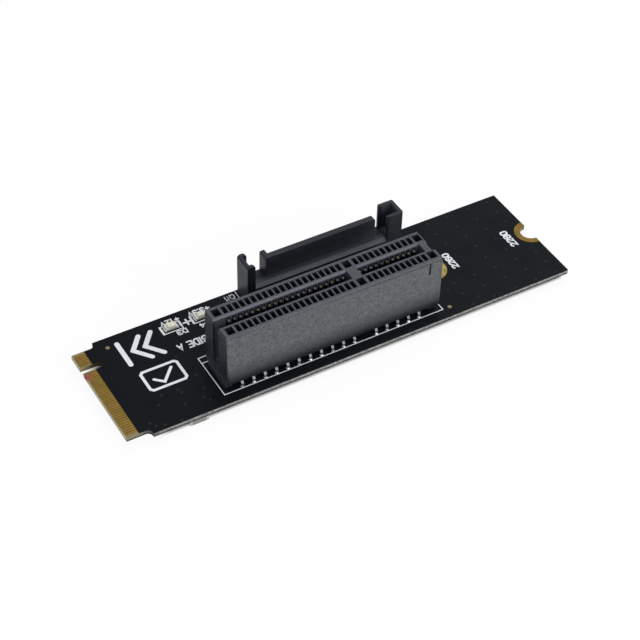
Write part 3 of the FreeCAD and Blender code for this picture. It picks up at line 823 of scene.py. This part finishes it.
# Strokes of each letter on a field 4 wide and 6 high
GLYPHS = {
    "0": [[(0, 1), (0, 5), (1, 6), (3, 6), (4, 5), (4, 1), (3, 0), (1, 0), (0, 1)]],
    "1": [[(0.8, 4.8), (2, 6), (2, 0)]],
    "2": [[(0, 5), (1, 6), (3, 6), (4, 5), (4, 4), (0, 0), (4, 0)]],
    "3": [[(0, 5), (1, 6), (3, 6), (4, 5), (4, 4), (3, 3.1), (1.6, 3.1)],
          [(3, 3.1), (4, 2.2), (4, 1), (3, 0), (1, 0), (0, 1)]],
    "4": [[(2.8, 6), (0, 2), (4, 2)], [(3, 0), (3, 3.6)]],
    "6": [[(3.8, 5.4), (3, 6), (1, 6), (0, 5), (0, 1), (1, 0), (3, 0), (4, 1), (4, 2.4), (3, 3.4)],
          [(3, 3.4), (0, 3.4)]],
    "8": [[(1, 3.2), (0, 4.1), (0, 5.1), (1, 6), (3, 6), (4, 5.1), (4, 4.1), (3, 3.2), (1, 3.2)],
          [(1, 3.2), (0, 2.2), (0, 1), (1, 0), (3, 0), (4, 1), (4, 2.2), (3, 3.2)]],
    "A": [[(0, 0), (2, 6), (4, 0)], [(0.8, 2), (3.2, 2)]],
    "C": [[(4, 5), (3, 6), (1, 6), (0, 5), (0, 1), (1, 0), (3, 0), (4, 1)]],
    "D": [[(0, 0), (0, 6), (2.4, 6), (4, 4.4), (4, 1.6), (2.4, 0), (0, 0)]],
    "E": [[(4, 6), (0, 6), (0, 0), (4, 0)], [(0, 3.1), (3, 3.1)]],
    "I": [[(0.4, 0), (0.4, 6)]],
    "N": [[(0, 0), (0, 6), (4, 0), (4, 6)]],
    "R": [[(0, 0), (0, 6), (3, 6), (4, 5), (4, 4), (3, 3), (0.5, 3)], [(2, 3), (4, 0)]],
    "S": [[(4, 5), (3, 6), (1, 6), (0, 5), (0, 4), (1, 3.1), (3, 3.1), (4, 2.2), (4, 1), (3, 0), (1, 0),
           (0, 1)]],
    "V": [[(0, 6), (2, 0), (4, 6)]],
    "+": [[(2, 1), (2, 5)], [(0, 3), (4, 3)]],
    ".": [[(0.4, 0), (0.4, 0.4)]],
    " ": [],
}
GLYPH_FIELD = 4
GLYPH_HEIGHT = 6
GLYPH_WIDTH = {".": 0.8, "1": 2.6, "I": 0.8, " ": 1.6}
GLYPH_GAP = 1.7

# Words and lines of print: x from the contact end, y from the middle line, half the width of the stroke last
CARD_LENGTHS = (("2280", 75.1, 76.45, -1.7, 2.15), ("2260", 63.45, 64.7, -1.6, 2.1))
CARD_LENGTH_STROKE = 0.15
CARD_LENGTH_INSET = 0.14
PART_MARKS = (("+12V", (18.4, 9.95), 0.95, 3.1, 0.14), ("+3.3V", (23.8, 9.95), 0.95, 3.6, 0.14),
              ("D3", (18.4, 6.95), 0.9, 1.6, 0.115), ("D4", (22.3, 6.75), 0.9, 1.6, 0.115),
              ("CN1", (28.6, 10.4), 1.05, 1.6, 0.08), ("SIDE A", (20.4, 4.05), 1.35, 5.0, 0.14))
UNDER_MARKS = (("R1", (18.0, 4.6)), ("R2", (23.3, 4.6)), ("C1", (14.4, -9.4)))
UNDER_MARK_SIZE = (1.0, 1.7, 0.09)
LIGHT_MIDDLES = (16.45, 21.75)
LIGHT_OUTLINE = [[(-0.6, 9.0), (-1.7, 9.0), (-1.7, 7.2), (1.7, 7.2), (1.7, 9.0), (0.9, 9.0)]]
LIGHT_BARS = [[(-1.66, 8.85), (-1.66, 7.3)], [(1.68, 8.85), (1.68, 7.9)]]
PLUS_SIGN = [[(18.6, 8.12), (19.86, 8.12)], [(19.23, 7.5), (19.23, 8.74)]]
SLOT_OUTLINE = [[(18.4, -0.1), (17.0, -0.1), (17.0, -9.05), (56.6, -9.05), (56.6, -7.48)],
                [(17.15, -1.35), (18.1, -1.35)], [(29.2, 9.1), (29.2, 10.7)]]
PUSH_ARROW = [[(7.3, 8.9), (7.3, 3.7)], [(11.0, 8.9), (8.9, 6.3), (11.0, 3.7)],
              [(13.1, 8.9), (11.0, 6.3), (13.1, 3.7)]]
TICK_BOX = [[(8.0, -3.0), (13.4, -3.0), (13.8, -2.6), (13.8, 0.9), (13.4, 1.3), (8.0, 1.3), (7.6, 0.9),
             (7.6, -2.6), (8.0, -3.0)], [(9.0, -0.9), (10.3, -2.1), (12.5, 0.3)]]


def ribbon(bm, line, half, z, rise):
    """Line of print with mitred corners and rounded ends, looped if it ends where it starts."""
    points = [Vector(p) for p in line]
    looped = (points[0] - points[-1]).length < 1e-6
    if looped:
        points.pop()
    count = len(points)
    stations = []
    for i, point in enumerate(points):
        before = (point - points[i - 1]).normalized() if looped or i > 0 else None
        after = (points[(i + 1) % count] - point).normalized() if looped or i < count - 1 else None
        first = before or after
        second = after or before
        across = Vector((-first.y - second.y, first.x + second.x))
        reach = half / max(0.5, across.dot(Vector((-first.y, first.x))))
        if before is None:
            stations += [(point - after * half * s, across * reach * c) for s, c in ROUND_END]
        stations.append((point, across * reach))
        if after is None:
            stations += [(point + before * half * s, across * reach * c) for s, c in ROUND_END[::-1]]
    low, high = sorted((z, z + rise))
    sections = [[(p.x - w.x, p.y - w.y, low), (p.x + w.x, p.y + w.y, low),
                 (p.x + w.x, p.y + w.y, high), (p.x - w.x, p.y - w.y, high)] for p, w in stations]
    swept_bar(bm, sections, looped)


def text_width(text):
    return sum(GLYPH_WIDTH.get(c, GLYPH_FIELD) for c in text) + GLYPH_GAP * (len(text) - 1)


def lettering(bm, text, start, reading, up, height, length, half, z=BOARD_TOP, rise=PRINT_RISE):
    """Stroke letters from a start corner on the baseline, along the reading direction, drawn to a length."""
    scale = length / text_width(text)
    pen = 0.0
    for letter in text:
        for k, stroke in enumerate(GLYPHS[letter]):
            line = []
            for gx, gy in stroke:
                x = along(start[0]) + reading[0] * (pen + gx) * scale + up[0] * gy * height / GLYPH_HEIGHT
                y = start[1] + reading[1] * (pen + gx) * scale + up[1] * gy * height / GLYPH_HEIGHT
                line.append((x, y))
            ribbon(bm, line, half, z, rise * (1 + STROKE_STEP * k))
        pen += GLYPH_WIDTH.get(letter, GLYPH_FIELD) + GLYPH_GAP


def lines(bm, paths, half, layer=0):
    """Printed lines, each a little higher than the one before so that none share a face."""
    for k, path in enumerate(paths):
        rise = PRINT_RISE * (1 + STROKE_STEP * (k + layer))
        ribbon(bm, [(along(x), y) for x, y in path], half, BOARD_TOP, rise)


def shifted(paths, by):
    return [[(x + by, y) for x, y in path] for path in paths]


def print_words():
    """Card lengths at the screw places, and voltages, part numbers and the side's name beside the slot."""
    bm = bmesh.new()
    for text, low, high, near, far in CARD_LENGTHS:
        lettering(bm, text, (high - CARD_LENGTH_INSET, near), (0, 1), (-1, 0),
                  high - low - 2 * CARD_LENGTH_INSET, far - near, CARD_LENGTH_STROKE)
    piece_from(bm, "print_card_lengths", "print")
    bm = bmesh.new()
    for text, start, height, length, half in PART_MARKS:
        lettering(bm, text, start, (-1, 0), (0, -1), height, length, half)
    piece_from(bm, "print_part_marks", "print")


def print_lines():
    """Outlines of the lights and the slot, the way to push in and a tick box."""
    bm = bmesh.new()
    for x in LIGHT_MIDDLES:
        lines(bm, shifted(LIGHT_OUTLINE, x), 0.10)
        lines(bm, shifted(LIGHT_BARS, x), 0.19, 1)
    lines(bm, PLUS_SIGN, 0.16)
    lines(bm, SLOT_OUTLINE, 0.08)
    piece_from(bm, "print_part_outlines", "print")
    for name, paths, half in (("print_push_arrow", PUSH_ARROW, 0.40), ("print_tick_box", TICK_BOX, 0.24)):
        bm = bmesh.new()
        lines(bm, paths, half)
        piece_from(bm, name, "print")


def print_underside():
    """Part numbers of the chip parts on the underside."""
    height, length, half = UNDER_MARK_SIZE
    bm = bmesh.new()
    for text, start in UNDER_MARKS:
        lettering(bm, text, start, (1, 0), (0, -1), height, length, half, BOARD_BOTTOM, -PRINT_RISE)
    piece_from(bm, "print_under_marks", "print")


# Stage, light and camera

FLOOR_HALF = 1.5
FLOOR_LEVEL = -0.00002
FLOOR_SHADE = (5.0, 7.4)
FLOOR_FAR_SHIFT = 3.8
FLOOR_END_SHADE = 0.8
FLOOR_SIDE_SHADE = (0.70, 1.15)
FLOOR_WHITE = 0.93
ROOM_LIGHT = 0.50

# Lamps: place in metres, size and power
LAMPS = {"front_softbox": ((0.12, -0.50, 0.25), 0.35, 1.8), "top_softbox": ((0.10, 0.05, 0.55), 0.40, 1.2)}
LAMP_AIM = (0, 0, 0.005)

# Photograph's view: a long lens from the contact end's near side
CAMERA_PLACE = (-107.262, -177.140, 196.850)
CAMERA_AIM = (-1.978, -1.674, 2.3)
CAMERA_ROLL = 0.0264
CAMERA_LENS = 99.48
CAMERA_SENSOR = 36.0


def seen_ray(tree):
    """1 for the rays that show the background: the camera's, and those in gloss and glass."""
    rays = add(tree, "ShaderNodeLightPath").outputs
    return any_of(tree, rays["Is Camera Ray"], rays["Is Glossy Ray"], rays["Is Transmission Ray"])


def under_card(tree):
    """1 on the floor well under the card, fading out towards its edges."""
    x, y = axes_of(tree, position(tree))[:2]
    far_half = above(tree, y, 0.0)
    from_edge = math_node(tree, "ADD", x, math_node(tree, "MULTIPLY", far_half, FLOOR_FAR_SHIFT))
    side = ramp_value(tree, size_of(tree, y), BOARD_HALF - FLOOR_SIDE_SHADE[0],
                      BOARD_HALF - FLOOR_SIDE_SHADE[1], 0.0, 1.0)
    return all_of(tree, fade_along(tree, from_edge, FLOOR_SHADE, 0.0, 1.0),
                  ramp_value(tree, x, END_X, END_X - FLOOR_END_SHADE, 0.0, 1.0), side)


def floor():
    """Pale floor that shows nearly white and keeps the card's shadow."""
    mesh = bpy.data.meshes.new("floor")
    corners = ((-1, -1), (1, -1), (1, 1), (-1, 1))
    mesh.from_pydata([(x * FLOOR_HALF, y * FLOOR_HALF, FLOOR_LEVEL) for x, y in corners], [], [(0, 1, 2, 3)])
    made = bpy.data.objects.new("floor", mesh)
    bpy.context.scene.collection.objects.link(made)
    material = bpy.data.materials.new("pale_floor")
    material.use_nodes = True
    tree = material.node_tree
    tree.nodes.clear()
    matt = add(tree, "ShaderNodeBsdfDiffuse", {"Color": colour(0.94, 0.94, 0.94)})
    white = add(tree, "ShaderNodeEmission", {"Color": colour(1, 1, 1), "Strength": 1.0})
    share = all_of(tree, seen_ray(tree), ramp_value(tree, under_card(tree), 0.0, 1.0, FLOOR_WHITE, 0.0))
    mixed = add(tree, "ShaderNodeMixShader", {0: share, 1: matt.outputs[0], 2: white.outputs[0]})
    add(tree, "ShaderNodeOutputMaterial", {"Surface": mixed.outputs[0]})
    mesh.materials.append(material)


def surroundings():
    """White room: full white where it is seen, half as bright as a light."""
    world = bpy.data.worlds.new("white_room")
    bpy.context.scene.world = world
    world.use_nodes = True
    tree = world.node_tree
    tree.nodes.clear()
    strength = ramp_value(tree, seen_ray(tree), 0.0, 1.0, ROOM_LIGHT, 1.0)
    background = add(tree, "ShaderNodeBackground", {"Color": colour(1, 1, 1), "Strength": strength})
    add(tree, "ShaderNodeOutputWorld", {"Surface": background.outputs[0]})


def lamps():
    for name, (place, size, power) in LAMPS.items():
        lamp = bpy.data.lights.new(name, "AREA")
        lamp.shape = "SQUARE"
        lamp.size = size
        lamp.energy = power
        made = bpy.data.objects.new(name, lamp)
        made.location = place
        made.rotation_euler = (Vector(LAMP_AIM) - Vector(place)).to_track_quat("-Z", "Y").to_euler()
        bpy.context.scene.collection.objects.link(made)


def camera():
    lens = bpy.data.cameras.new("camera")
    lens.lens = CAMERA_LENS
    lens.sensor_width = CAMERA_SENSOR
    lens.clip_start = 0.01
    lens.clip_end = 10.0
    made = bpy.data.objects.new("camera", lens)
    place = at(*CAMERA_PLACE)
    turn = (at(*CAMERA_AIM) - place).to_track_quat("-Z", "Y").to_matrix()
    roll = Matrix.Rotation(CAMERA_ROLL, 3, turn @ Vector((0, 0, 1)))
    made.matrix_world = Matrix.Translation(place) @ (roll @ turn).to_4x4()
    bpy.context.scene.collection.objects.link(made)
    bpy.context.scene.camera = made


# Dressing of the solids

def dress(node, finish):
    slots = NODES[node].data.materials
    slots.clear()
    slots.append(FINISH[finish])


def dress_solids():
    """Finishes on the nodes that stay as they are, and softened pieces for the others."""
    dress("circuit_board", "board")
    for node in ("edge_contacts_top", "edge_contacts_bottom", "end_notch_plating"):
        dress(node, "gold")
    dress("screw_hole_ring", "worn_gold")
    for row in SLOT_ROWS:
        dress("slot_contacts_" + row, "contact")
    for row in POWER_ROWS:
        dress("power_contacts_" + row, "gold")
    for kind, (finish, slot, width) in SOFTENED.items():
        names = [kind] if kind in NODES else ["first_" + kind, "second_" + kind]
        for node in names:
            softened(node, finish, width)


bpy.context.scene.view_settings.view_transform = "Standard"
dress_solids()
solder_rows()
chip_solder()
copper_details()
vias()
print_words()
print_lines()
print_underside()
floor()
surroundings()
lamps()
camera()
